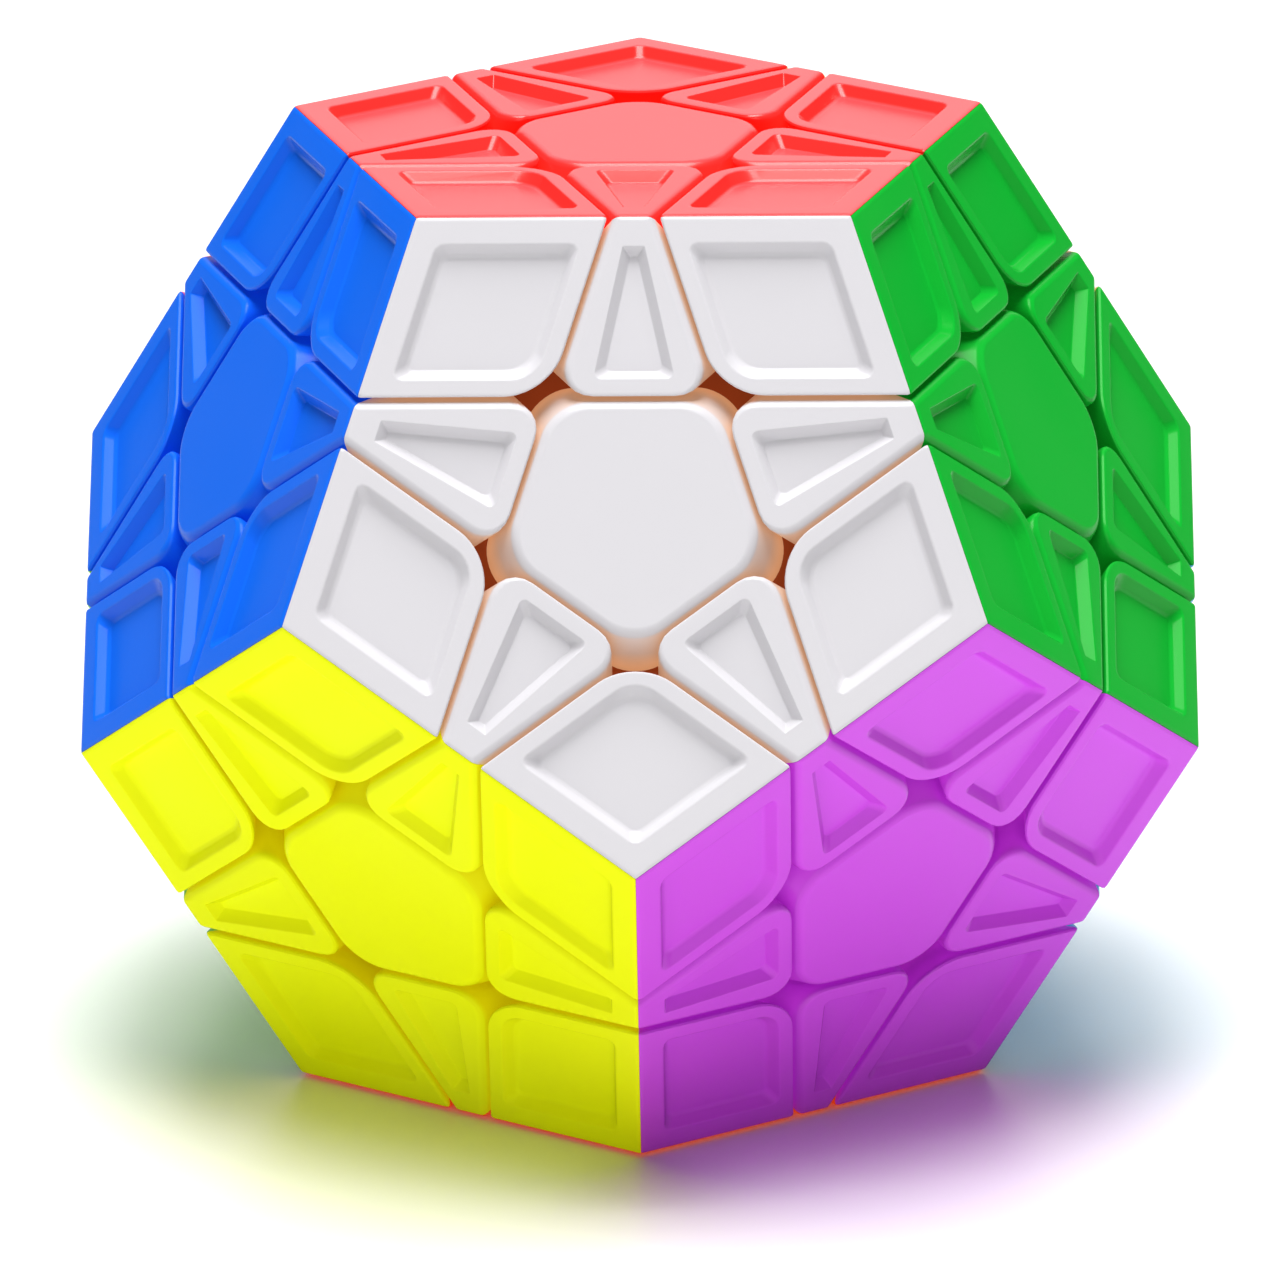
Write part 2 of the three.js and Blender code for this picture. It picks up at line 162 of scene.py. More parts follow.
def ringOf(name):  # neighbours in turn round a face
    around = [other for other in faceNames if areNeighbours(name, other)]
    start = along(axes[name], axes[around[0]])
    side = axes[name].cross(start)
    return sorted(around, key=lambda o: math.atan2(axes[o].dot(side), axes[o].dot(start)) % (2 * math.pi))


def along(axis, other):  # the direction across an axis that points at another one
    return (other - axis * axis.dot(other)).normalized()


def basis(a, b):
    return Matrix((a, b, a.cross(b))).transposed()


def turnBetween(first, second):  # the turn that carries one pair of faces onto another
    start = basis(axes[first[0]], axes[first[1]])
    finish = basis(axes[second[0]], axes[second[1]])
    return (finish @ start.inverted()).to_4x4()


# mesh helpers

def planesToCube(bm, normals, spans):  # a cube turned into the block between three pairs of planes
    middle = Vector([(low + high) / 2 for low, high in spans])
    scale = Matrix.Diagonal([high - low for low, high in spans])
    slant = Matrix(normals).inverted()
    bmesh.ops.create_cube(bm, size=1)
    matrix = Matrix.Translation(slant @ middle) @ (slant @ scale).to_4x4()
    bmesh.ops.transform(bm, matrix=matrix, verts=bm.verts)


def cutAway(bm, normal, distance):  # keeps the side where normal . point <= distance
    unit = normal.normalized()
    everything = bm.verts[:] + bm.edges[:] + bm.faces[:]
    made = bmesh.ops.bisect_plane(bm, geom=everything, dist=cutting["bisectDistance"],
                                  plane_co=unit * distance / normal.length, plane_no=unit, clear_outer=True)
    rim = [g for g in made["geom_cut"] if isinstance(g, bmesh.types.BMEdge)]
    if rim:
        bmesh.ops.holes_fill(bm, edges=rim, sides=0)


def roundEdges(bm, edges, width, segments):
    bmesh.ops.bevel(bm, geom=edges, offset=width, offset_type="OFFSET", affect="EDGES", segments=segments,
                    profile=0.5, material=-1, clamp_overlap=True)


def edgesOf(faces):  # each edge once, in the same order every time
    return list(dict.fromkeys(e for f in faces for e in f.edges))


def rawBlock():
    bm = bmesh.new()
    bmesh.ops.create_cube(bm, size=cutting["rawBlock"])
    return bm


def facesAt(bm, normal, distance):
    return [f for f in bm.faces if abs(f.calc_center_median().dot(normal) - distance) < cutting["onPlane"]
            and abs(f.normal.dot(normal)) > cutting["level"]]


def panelTool(normal, outline, look):  # the body that a panel's hollow is cut with
    depth, lean = look["panelDepth"], look["panelSlope"] / look["panelDepth"]
    bm = rawBlock()
    cutAway(bm, normal, faceDistance + cutting["toolProud"])
    cutAway(bm, -normal, depth - faceDistance)
    for direction, reach in outline:
        cutAway(bm, direction - normal * lean, reach - faceDistance * lean)
    rising = [e for e in bm.edges if abs((e.verts[0].co - e.verts[1].co).dot(normal)) > depth]
    rising.sort(key=lambda e: min((v.co - normal * v.co.dot(normal)).length for v in e.verts))
    count = look["innerCorners"]
    roundEdges(bm, rising[:count], look["innerCorner"], 2 * look["rimSegments"])
    roundEdges(bm, [e for e in rising[count:] if e.is_valid], look["panelCorner"], look["rimSegments"])
    floorFaces = facesAt(bm, normal, faceDistance - depth)
    roundEdges(bm, edgesOf(floorFaces), look["floorRounding"], look["rimSegments"])
    return toMesh(bm, "panelTool")


def sunk(block, cuts, look):  # the block with a hollow under each of its tiles
    tools = [panelTool(normal, outline, look) for normal, outline in cuts]
    bm = bmesh.new()
    bm.from_mesh(combined(block, tools, "DIFFERENCE"))
    rims = []
    for normal, outline in cuts:
        for e in bm.edges:
            level = all(abs(v.co.dot(normal) - faceDistance) < cutting["onPlane"] for v in e.verts)
            slopes = [f.normal.dot(normal) for f in e.link_faces]
            turned = max(slopes) > cutting["level"] and min(slopes) < cutting["sloping"]
            if level and turned and insideTile(e, outline):
                rims.append(e)
    roundEdges(bm, rims, look["lipRounding"], look["smallSegments"])
    return toMesh(bm, "sunkBlock")


def insideTile(edge, outline):  # on the panel's own outline, not on the tile's
    middle = (edge.verts[0].co + edge.verts[1].co) / 2
    return all(middle.dot(direction) < reach + cutting["onOutline"] for direction, reach in outline)


def toMesh(bm, name):
    bmesh.ops.remove_doubles(bm, verts=bm.verts, dist=cutting["mergeDistance"])
    bmesh.ops.recalc_face_normals(bm, faces=bm.faces)
    mesh = bpy.data.meshes.new(name)
    bm.to_mesh(mesh)
    bm.free()
    return mesh


def finished(mesh, modifiers):  # the mesh as its modifiers leave it
    carrier = bpy.data.objects.new("carrier", mesh)
    bpy.context.scene.collection.objects.link(carrier)
    for kind, values in modifiers:
        modifier = carrier.modifiers.new(kind.lower(), kind)
        for key, value in values.items():
            setattr(modifier, key, value)
    graph = bpy.context.evaluated_depsgraph_get()
    made = bpy.data.meshes.new_from_object(carrier.evaluated_get(graph), depsgraph=graph)
    bpy.data.objects.remove(carrier)
    return made


def combined(first, others, operation):  # UNION or DIFFERENCE with several other bodies
    tools = []
    for mesh in others:
        tool = bpy.data.objects.new("tool", mesh)
        bpy.context.scene.collection.objects.link(tool)
        tools.append(tool)
    made = finished(first, [("BOOLEAN", {"object": tool, "operation": operation, "solver": "EXACT"})
                            for tool in tools])
    for tool in tools:
        bpy.data.objects.remove(tool)
    return made


def smoothed(mesh, angle=math.radians(35)):
    for polygon in mesh.polygons:
        polygon.use_smooth = True
    mesh.set_sharp_from_angle(angle=angle)
    return finished(mesh, [("WEIGHTED_NORMAL", {"keep_sharp": True, "weight": 100})])


def barMesh(axis, radius, low, high, sides, name):
    bm = bmesh.new()
    bmesh.ops.create_cone(bm, cap_ends=True, segments=sides, radius1=radius, radius2=radius, depth=high - low)
    turn = axis.to_track_quat("Z", "Y").to_matrix().to_4x4()
    matrix = turn @ Matrix.Translation((0, 0, (low + high) / 2))
    bmesh.ops.transform(bm, matrix=matrix, verts=bm.verts)
    return toMesh(bm, name)


# corner pieces

cornerLook = {
    "rounding": 5.5 * mm,
    "roundingSegments": 10,
    "rimRounding": 0.46 * mm,
    "rimSegments": 3,
    "outerRim": 2.2 * mm,
    "innerRim": 1.5 * mm,
    "panelSlope": 0.7 * mm,
    "panelDepth": 0.9 * mm,
    "panelCorner": 0.6 * mm,
    "innerCorners": 1,
    "innerCorner": 1.7 * mm,
    "floorRounding": 0.3 * mm,
    "lipRounding": 0.16 * mm,
    "smallSegments": 2,
    "neckTop": 3.4 * mm,
    "neckSides": 24,
    "footRounding": 0.5 * mm,
}


def cornerBody(slot):
    look = cornerLook
    normals = [axes[name] for name in slot]
    axis = (normals[0] + normals[1] + normals[2]).normalized()
    low = cutPlane + halfGap
    bm = bmesh.new()
    planesToCube(bm, normals, [(low, faceDistance)] * 3)
    cutFaces = [f for n in normals for f in facesAt(bm, n, low)]
    inner = [e for e in bm.edges if all(f in cutFaces for f in e.link_faces)]
    width = look["rounding"] * math.tan(math.acos(faceCos) / 2)
    roundEdges(bm, inner, width, look["roundingSegments"])
    skins = [facesAt(bm, n, faceDistance)[0] for n in normals]
    roundEdges(bm, edgesOf(skins), look["rimRounding"], look["rimSegments"])
    cuts = []
    for i, n in enumerate(normals):
        outline = []
        for other in (normals[i - 1], normals[i - 2]):
            outward = along(n, other)
            outline.append((outward, faceApothem - look["outerRim"]))
            outline.append((-outward, -(innerReach + look["innerRim"])))
        cuts.append((n, outline))
    block = sunk(toMesh(bm, "cornerBlock"), cuts, look)
    neckTop = footRoof + look["neckTop"]
    neck = barMesh(axis, puzzle["neckRadius"], footUnderside, neckTop, look["neckSides"], "cornerNeck")
    bm = rawBlock()
    for n in normals:
        cutAway(bm, -n, -(footCut + halfGap))
        cutAway(bm, along(axis, n), puzzle["footReach"])
    cutAway(bm, axis, footTop)
    cutAway(bm, -axis, -footUnderside)
    roundEdges(bm, bm.edges[:], look["footRounding"], look["smallSegments"])
    return combined(block, [neck, toMesh(bm, "cornerFoot")], "UNION")


# edge pieces

edgeLook = {
    "length": 80 * mm,
    "rounding": 2.8 * mm,
    "roundingSegments": 6,
    "rimRounding": 0.46 * mm,
    "rimSegments": 3,
    "panelSlope": 0.7 * mm,
    "panelDepth": 0.9 * mm,
    "panelCorner": 0.08 * mm,
    "innerCorners": 2,
    "innerCorner": 0.5 * mm,
    "floorRounding": 0.08 * mm,
    "panelTip": 2.4 * mm,
    "panelBase": 1.5 * mm,
    "tipWidth": 1.7 * mm,
    "baseWidth": 6.3 * mm,
    "lipRounding": 0.16 * mm,
    "smallSegments": 2,
    "neckTop": 1.7 * mm,
    "footRounding": 0.4 * mm,
}


def edgeBody(slot):
    look = edgeLook
    a, b = axes[slot[0]], axes[slot[1]]
    c, d = [axes[name] for name in faceNames if areNeighbours(name, slot[0]) and areNeighbours(name, slot[1])]
    axis = (a + b).normalized()
    lengthwise = a.cross(b).normalized()
    low, halfLength = cutPlane + halfGap, look["length"] / 2
    bm = bmesh.new()
    planesToCube(bm, [a, b, lengthwise], [(low, faceDistance)] * 2 + [(-halfLength, halfLength)])
    for end in (c, d):
        cutAway(bm, end, cutPlane - halfGap)
    cutAway(bm, -axis, -footRoof)
    ends = [f for n in (c, d) for f in facesAt(bm, n, cutPlane - halfGap)]
    cutFaces = [f for n in (a, b) for f in facesAt(bm, n, low)]
    inner = [e for e in bm.edges if any(f in ends for f in e.link_faces)
             and any(f in cutFaces for f in e.link_faces)]
    roundEdges(bm, inner, look["rounding"], look["roundingSegments"])
    skins = [facesAt(bm, n, faceDistance)[0] for n in (a, b)]
    roundEdges(bm, edgesOf(skins), look["rimRounding"], look["rimSegments"])
    cuts = []
    for n, other in ((a, b), (b, a)):
        outward = along(n, other)
        tip, base = faceApothem - look["panelTip"], innerReach + look["panelBase"]
        taper = math.atan2((look["baseWidth"] - look["tipWidth"]) / 2, tip - base)
        outline = [(outward, tip), (-outward, -base)]
        for side in (lengthwise, -lengthwise):
            direction = side * math.cos(taper) + outward * math.sin(taper)
            outline.append((direction, look["tipWidth"] / 2 * math.cos(taper) + tip * math.sin(taper)))
        cuts.append((n, outline))
    head = sunk(toMesh(bm, "edgeHead"), cuts, look)
    parts = []
    neckTop, footLow = footRoof + look["neckTop"], footCut + halfGap
    for kind, bottom, top in (("Neck", low, neckTop), ("Foot", footLow, footTop)):
        bm = rawBlock()
        for n in (a, b):
            cutAway(bm, -n, -bottom)
            if kind == "Foot":
                cutAway(bm, along(axis, n), puzzle["footReach"])
        for end in (c, d):
            cutAway(bm, end, footCut - halfGap)
        cutAway(bm, axis, top)
        cutAway(bm, -axis, -footUnderside)
        if kind == "Foot":
            roundEdges(bm, bm.edges[:], look["footRounding"], look["smallSegments"])
        parts.append(toMesh(bm, "edge" + kind))
    return combined(head, parts, "UNION")


# centre pieces

centreLook = {
    "rounding": 3.6 * mm,
    "roundingSegments": 10,
    "rimRounding": 0.55 * mm,
    "rimSegments": 4,
    "stemSides": 32,
    "capGlue": 0.05 * mm,
    "webThickness": 2.2 * mm,
    "screwHole": 1.4 * mm,
    "dishRoot": 0.975,
    "undersideShares": (0.4, 0.55, 0.7, 0.85, 1),
    "topShares": (1, 0.84, 0.67, 0.5, 0.33),
}


def capBody():  # about +Z, with a neighbouring face towards +X
    look = centreLook
    top = (cutPlane - halfGap - faceCos * faceDistance) / faceSin
    bottom = top + layerSpread(faceDistance - footRoof)
    bm = bmesh.new()
    stretch = 1 / math.cos(math.pi / 5)
    bmesh.ops.create_cone(bm, cap_ends=True, segments=5, radius1=bottom * stretch, radius2=top * stretch,
                          depth=faceDistance - footRoof)
    lift = Matrix.Translation((0, 0, (faceDistance + footRoof) / 2))
    flat = max(bm.verts, key=lambda v: v.co.x)
    turn = Matrix.Rotation(math.pi / 5 - math.atan2(flat.co.y, flat.co.x), 4, "Z")
    bmesh.ops.transform(bm, matrix=lift @ turn, verts=bm.verts)
    sides = [e for e in bm.edges if abs(e.verts[0].co.z - e.verts[1].co.z) > mm]
    roundEdges(bm, sides, look["rounding"] * math.tan(math.pi / 5), look["roundingSegments"])
    capFaces = facesAt(bm, Vector((0, 0, 1)), faceDistance)
    roundEdges(bm, edgesOf(capFaces), look["rimRounding"], look["rimSegments"])
    return toMesh(bm, "capBody")


def layerSpread(depth):  # how much further out the layer's plane is, further down
    return depth * faceCos / faceSin


def spunMesh(points, steps, name):  # a closed outline of radius and height, spun about +Z
    bm = bmesh.new()
    verts = [bm.verts.new((r, 0, z)) for r, z in points]
    edges = [bm.edges.new((v, verts[(i + 1) % len(verts)])) for i, v in enumerate(verts)]
    bmesh.ops.spin(bm, geom=verts + edges, axis=(0, 0, 1), cent=(0, 0, 0), dvec=(0, 0, 0), angle=2 * math.pi,
                   steps=steps, use_merge=True, use_duplicate=False)
    return toMesh(bm, name)


def dishPoints(radius, shares):  # on a sphere, at shares of the dish's half angle
    angles = [puzzle["dishHalfAngle"] * share for share in shares]
    return [(radius * math.sin(angle), radius * math.cos(angle)) for angle in angles]


def stemBody():
    look = centreLook
    inner = stemRadius - puzzle["stemWall"]
    socket = stemRadius - puzzle["socketWall"]
    seat = puzzle["coreFlat"] + puzzle["gap"]
    web = puzzle["coreFlat"] + puzzle["postLength"] + puzzle["gap"]
    webTop, hole = web + look["webThickness"], look["screwHole"]
    roof = footRoof - look["capGlue"]
    underside = dishTop - puzzle["dishThickness"]
    outline = [(socket, seat), (stemRadius, seat), (stemRadius, underside * look["dishRoot"])]
    outline += dishPoints(underside, look["undersideShares"]) + dishPoints(dishTop, look["topShares"])
    outline += [(stemRadius, dishTop), (stemRadius, roof), (inner, roof)]
    outline += [(inner, webTop), (hole, webTop), (hole, web), (socket, web)]
    return spunMesh(outline, look["stemSides"], "stemBody")


# core, screws, springs and washers

coreLook = {
    "rounding": 0.6 * mm,
    "roundingSegments": 3,
    "postBottom": 4 * mm,
    "postSides": 20,
}

fixings = {
    "screwRadius": 1.05 * mm,
    "screwSides": 16,
    "tipGap": 0.3 * mm,
    "tipLength": 0.4 * mm,
    "threadHeight": 0.2 * mm,
    "threadPitch": 0.55 * mm,
    "shankLength": 9 * mm,
    "axisGap": 0.02 * mm,  # keeps an outline just off the axis, so that the spin closes
    "headRadius": 2.4 * mm,
    "headHeight": 1.6 * mm,
    "headPlace": 29 * mm,
    "washerThickness": 0.5 * mm,
    "washerGap": 0.25 * mm,
    "washerSides": 24,
    "springRadius": 2.2 * mm,
    "springWire": 0.32 * mm,
    "springSides": 8,
    "springSteps": 14,
    "springTurns": 6,
    "restGap": 0.02 * mm,
}


def coreMesh():
    bm = rawBlock()
    for name in faceNames:
        cutAway(bm, axes[name], puzzle["coreFlat"])
    roundEdges(bm, bm.edges[:], coreLook["rounding"], coreLook["roundingSegments"])
    block = toMesh(bm, "coreBlock")
    radius = stemRadius - puzzle["socketWall"] - puzzle["gap"]
    bottom, top = coreLook["postBottom"], puzzle["coreFlat"] + puzzle["postLength"]
    posts = [barMesh(axes[name], radius, bottom, top, coreLook["postSides"], "post") for name in faceNames]
    return combined(block, posts, "UNION")


def screwMesh():  # tip, thread, shank, then a head with the driver's recess
    r, head, axisGap = fixings["screwRadius"], fixings["headRadius"], fixings["axisGap"]
    place, height, crest = fixings["headPlace"], fixings["headHeight"], fixings["threadHeight"]
    tip = puzzle["coreFlat"] + puzzle["postLength"] + fixings["tipGap"]
    outline = [(axisGap, tip), (r * 0.8, tip), (r, tip + fixings["tipLength"])]
    z = tip + fixings["tipLength"] + crest
    while z < place - fixings["shankLength"]:
        outline += [(r, z), (r * 1.18, z + crest), (r, z + 2 * crest)]
        z += fixings["threadPitch"]
    outline += [(r, place), (head, place), (head, place + height * 0.6), (head * 0.8, place + height)]
    outline += [(head * 0.35, place + height), (head * 0.3, place + height * 0.4)]
    outline.append((axisGap, place + height * 0.3))
    return spunMesh(outline, fixings["screwSides"], "screwBody")


def washerMesh():
    high = fixings["headPlace"] - fixings["restGap"]
    low = high - fixings["washerThickness"]
    inner, outer = fixings["screwRadius"] + fixings["washerGap"], fixings["headRadius"] + fixings["washerGap"]
    outline = [(inner, low), (outer, low), (outer, high), (inner, high)]
    return spunMesh(outline, fixings["washerSides"], "washerBody")


def springMesh():
    bm = bmesh.new()
    wire, radius, turns = fixings["springWire"], fixings["springRadius"], fixings["springTurns"]
    web = puzzle["coreFlat"] + puzzle["postLength"] + puzzle["gap"] + centreLook["webThickness"]
    low = web + wire + fixings["restGap"]
    high = fixings["headPlace"] - fixings["washerThickness"] - wire - 2 * fixings["restGap"]
    made = bmesh.ops.create_circle(bm, cap_ends=True, segments=fixings["springSides"], radius=wire)
    place = Matrix.Translation((radius, 0, low)) @ Matrix.Rotation(math.pi / 2, 4, "X")
    bmesh.ops.transform(bm, matrix=place, verts=made["verts"])
    steps = fixings["springSteps"] * turns
    bmesh.ops.spin(bm, geom=bm.verts[:] + bm.edges[:] + bm.faces[:], axis=(0, 0, 1), cent=(0, 0, 0),
                   dvec=(0, 0, (high - low) / steps), angle=2 * math.pi * turns, steps=steps,
                   use_merge=False, use_duplicate=False)
    return toMesh(bm, "springBody")


# materials: depths are measured down from a tile's face, and slopes are cosines of the angle to it

plasticLook = {
    # painted shade and glow: the seam colour takes over between these depths below the face, in the gaps
    # between pieces
    "seamDepths": (0.95 * mm, 4 * mm),
    # painted shade and glow: the darker inside colour takes over between these depths, in the hollows and
    # openings
    "insideDepths": (3 * mm, 7 * mm),
    # painted shade and glow on the gap walls near the face: their depths, slopes and share of the seam colour
    "wallDepths": (0.1 * mm, 0.8 * mm),
    "wallSlopes": (0.58, 0.48),
    "wallShare": 0.55,
    # painted shade: slopes between these cosines take part of the seam colour, darker than the lighter flats
    "panelSlopes": (0.97, 0.78),
    "lightening": 0.02,
    "lightest": 0.8,
    # painted light: strength of the glow on every tile, and how much the seam and inside colours are raised
    # in it
    "glow": 0.12,
    "seamGlow": 4,
    "insideGlow": 3,
    "grain": 3500.0,
    "smooth": 0.24,
    "rough": 0.28,
    "bump": 0.02,
}

steelLook = {
    "screw": "B9BCC2",
    "spring": "8E9299",
    "darker": 0.8,
    "grain": 1800.0,
    "smooth": 0.2,
    "rough": 0.42,
    "bump": 0.15,
}

grainLook = {
    "flowScale": 60,
    "flowDetail": 1.5,
    "grainDetail": 2,
    "flowRange": (0.1, 0.9),
    "bumpHeight": 0.03 * mm,
}


def rgb(code):
    parts = [int(code[i:i + 2], 16) / 255 for i in (0, 2, 4)]
    return [p / 12.92 if p <= 0.04045 else ((p + 0.055) / 1.055) ** 2.4 for p in parts] + [1]


def newGroup(name, inputs, outputs):
    group = bpy.data.node_groups.new(name, "ShaderNodeTree")
    for label, kind, value in inputs:
        socket = group.interface.new_socket(name=label, in_out="INPUT", socket_type=kind)
        if value is not None:
            socket.default_value = value
    for label, kind in outputs:
        group.interface.new_socket(name=label, in_out="OUTPUT", socket_type=kind)
    return group, group.nodes.new("NodeGroupInput"), group.nodes.new("NodeGroupOutput")


def mathNode(tree, operation, first, second):
    node = tree.nodes.new("ShaderNodeMath")
    node.operation = operation
    for i, value in enumerate((first, second)):
        if isinstance(value, (int, float)):
            node.inputs[i].default_value = value
        else:
            tree.links.new(value, node.inputs[i])
    return node.outputs[0]


def depthGroup():  # 0 at the face, 1 once it is far enough down in the gaps
    group, source, target = newGroup(
        "gapDepth",
        [("Axis", "NodeSocketVector", None), ("Start", "NodeSocketFloat", plasticLook["seamDepths"][0]),
         ("End", "NodeSocketFloat", plasticLook["seamDepths"][1])],
        [("Mask", "NodeSocketFloat")])
    place = group.nodes.new("ShaderNodeTexCoord")
    dot = group.nodes.new("ShaderNodeVectorMath")
    dot.operation = "DOT_PRODUCT"
    group.links.new(place.outputs["Object"], dot.inputs[0])
    group.links.new(source.outputs["Axis"], dot.inputs[1])
    depth = mathNode(group, "SUBTRACT", faceDistance, dot.outputs["Value"])
    ramp = group.nodes.new("ShaderNodeMapRange")
    ramp.interpolation_type = "SMOOTHSTEP"
    group.links.new(depth, ramp.inputs["Value"])
    group.links.new(source.outputs["Start"], ramp.inputs["From Min"])
    group.links.new(source.outputs["End"], ramp.inputs["From Max"])
    group.links.new(ramp.outputs["Result"], target.inputs["Mask"])
    return group


def slopeGroup():  # 0 on the flat of a tile, 1 on its slopes and roundings
    group, source, target = newGroup(
        "tileSlope",
        [("Axis", "NodeSocketVector", None), ("Flat", "NodeSocketFloat", plasticLook["panelSlopes"][0]),
         ("Steep", "NodeSocketFloat", plasticLook["panelSlopes"][1])],
        [("Mask", "NodeSocketFloat")])
    place = group.nodes.new("ShaderNodeTexCoord")
    dot = group.nodes.new("ShaderNodeVectorMath")
    dot.operation = "DOT_PRODUCT"
    group.links.new(place.outputs["Normal"], dot.inputs[0])
    group.links.new(source.outputs["Axis"], dot.inputs[1])
    ramp = group.nodes.new("ShaderNodeMapRange")
    group.links.new(dot.outputs["Value"], ramp.inputs["Value"])
    group.links.new(source.outputs["Flat"], ramp.inputs["From Min"])
    group.links.new(source.outputs["Steep"], ramp.inputs["From Max"])
    group.links.new(ramp.outputs["Result"], target.inputs["Mask"])
    return group


def grainGroup():  # fine mould texture, faint flow marks and rubbing from fingers
    look = plasticLook
    group, source, target = newGroup(
        "mouldGrain",
        [("Grain", "NodeSocketFloat", look["grain"]), ("Smooth", "NodeSocketFloat", look["smooth"]),
         ("Rough", "NodeSocketFloat", look["rough"]), ("Bump", "NodeSocketFloat", look["bump"])],
        [("Roughness", "NodeSocketFloat"), ("Normal", "NodeSocketVector"), ("Tint", "NodeSocketFloat")])
    place = group.nodes.new("ShaderNodeTexCoord")
    grain = group.nodes.new("ShaderNodeTexNoise")
    grain.inputs["Detail"].default_value = grainLook["grainDetail"]
    group.links.new(place.outputs["Object"], grain.inputs["Vector"])
    group.links.new(source.outputs["Grain"], grain.inputs["Scale"])
    flow = group.nodes.new("ShaderNodeTexNoise")
    flow.inputs["Scale"].default_value = grainLook["flowScale"]
    flow.inputs["Detail"].default_value = grainLook["flowDetail"]
    group.links.new(place.outputs["Object"], flow.inputs["Vector"])
    rub = group.nodes.new("ShaderNodeMapRange")
    group.links.new(flow.outputs["Fac"], rub.inputs["Value"])
    rub.inputs["From Min"].default_value = grainLook["flowRange"][0]
    rub.inputs["From Max"].default_value = grainLook["flowRange"][1]
    group.links.new(source.outputs["Smooth"], rub.inputs["To Min"])
    group.links.new(source.outputs["Rough"], rub.inputs["To Max"])
    bump = group.nodes.new("ShaderNodeBump")
    bump.inputs["Distance"].default_value = grainLook["bumpHeight"]
    group.links.new(source.outputs["Bump"], bump.inputs["Strength"])
    group.links.new(grain.outputs["Fac"], bump.inputs["Height"])
    group.links.new(rub.outputs["Result"], target.inputs["Roughness"])
    group.links.new(bump.outputs["Normal"], target.inputs["Normal"])
    group.links.new(flow.outputs["Fac"], target.inputs["Tint"])
    return group


def placeGroup(tree, group, **values):
    node = tree.nodes.new("ShaderNodeGroup")
    node.node_tree = group
    for key, value in values.items():
        node.inputs[key].default_value = value
    return node


def mixColours(tree, share, first, second):
    node = tree.nodes.new("ShaderNodeMix")
    node.data_type = "RGBA"
    tree.links.new(share, node.inputs["Factor"])
    for key, value in (("A", first), ("B", second)):
        socket = [s for s in node.inputs if s.name == key and s.type == "RGBA"][0]
        if isinstance(value, list):
            socket.default_value = value
        else:
            tree.links.new(value, socket)
    return [s for s in node.outputs if s.type == "RGBA"][0]


def scaled(colour, share):
    return [c * share for c in colour[:3]] + [1]


def depthMask(tree, axis, depths):
    return placeGroup(tree, gapDepth, Axis=axis, Start=depths[0], End=depths[1]).outputs["Mask"]


def slopeMask(tree, axis, slopes):
    return placeGroup(tree, tileSlope, Axis=axis, Flat=slopes[0], Steep=slopes[1]).outputs["Mask"]


def tilePlastic(name):
    # painted shade colours: seam for the gaps between pieces, deep further in; both darker than the tile and
    # used again as the painted glow there
    colour, seam, deepShadeAndGlow = [rgb(code) for code in faceFacts[name][2:5]]
    # after the shine: the share of painted shade on the slopes, then the share of painted glow
    shine, slopeShadeShare, glowShare = faceFacts[name][5:]
    look, axis = plasticLook, axes[name]
    material = bpy.data.materials.new(name + "Plastic")
    material.use_nodes = True
    tree = material.node_tree
    shader = tree.nodes["Principled BSDF"]
    grain = placeGroup(tree, mouldGrain)
    # painted shade on the slopes and roundings of the tile, while its flats stay lighter
    panelSlope = slopeMask(tree, axis, look["panelSlopes"])
    # painted shade and painted light: down the gaps the tile takes the seam colour, then the deep colour, and
    # glows with them
    paintedSeamMask = depthMask(tree, axis, look["seamDepths"])
    paintedInsideMask = depthMask(tree, axis, look["insideDepths"])
    # the walls of a seam take some of its painted shade and painted glow as soon as they leave the face
    wall = mathNode(tree, "MULTIPLY", slopeMask(tree, axis, look["wallSlopes"]),
                    depthMask(tree, axis, look["wallDepths"]))
    paintedSeamMask = mathNode(tree, "MAXIMUM", paintedSeamMask, mathNode(tree, "MULTIPLY", wall, look["wallShare"]))
    lighter = [c + (look["lightest"] - c) * look["lightening"] for c in colour[:3]] + [1]
    surface = mixColours(tree, grain.outputs["Tint"], colour, lighter)
    # painted shade: slopes take part of the darker seam colour
    surface = mixColours(tree, mathNode(tree, "MULTIPLY", panelSlope, slopeShadeShare), surface, seam)
    # painted shade in the gaps: seam colour near the top, darker deep colour further in
    gapShade = mixColours(tree, paintedInsideMask, seam, deepShadeAndGlow)
    tree.links.new(mixColours(tree, paintedSeamMask, surface, gapShade), shader.inputs["Base Color"])
    # painted light: the gaps glow with brighter copies of the seam and deep colours, standing in for light
    # bounced between the pieces
    glowBelow = mixColours(tree, paintedInsideMask, scaled(seam, look["seamGlow"]), scaled(deepShadeAndGlow, look["insideGlow"]))
    # painted light: on the face, yellow and orange glow with their own colour, which brightens them past what
    # the lamps give
    glow = mixColours(tree, paintedSeamMask, scaled(colour, glowShare), glowBelow)
    tree.links.new(glow, shader.inputs["Emission Color"])
    shader.inputs["Emission Strength"].default_value = look["glow"]
    tree.links.new(grain.outputs["Roughness"], shader.inputs["Roughness"])
    tree.links.new(grain.outputs["Normal"], shader.inputs["Normal"])
    shader.inputs["Specular IOR Level"].default_value = shine
    return material


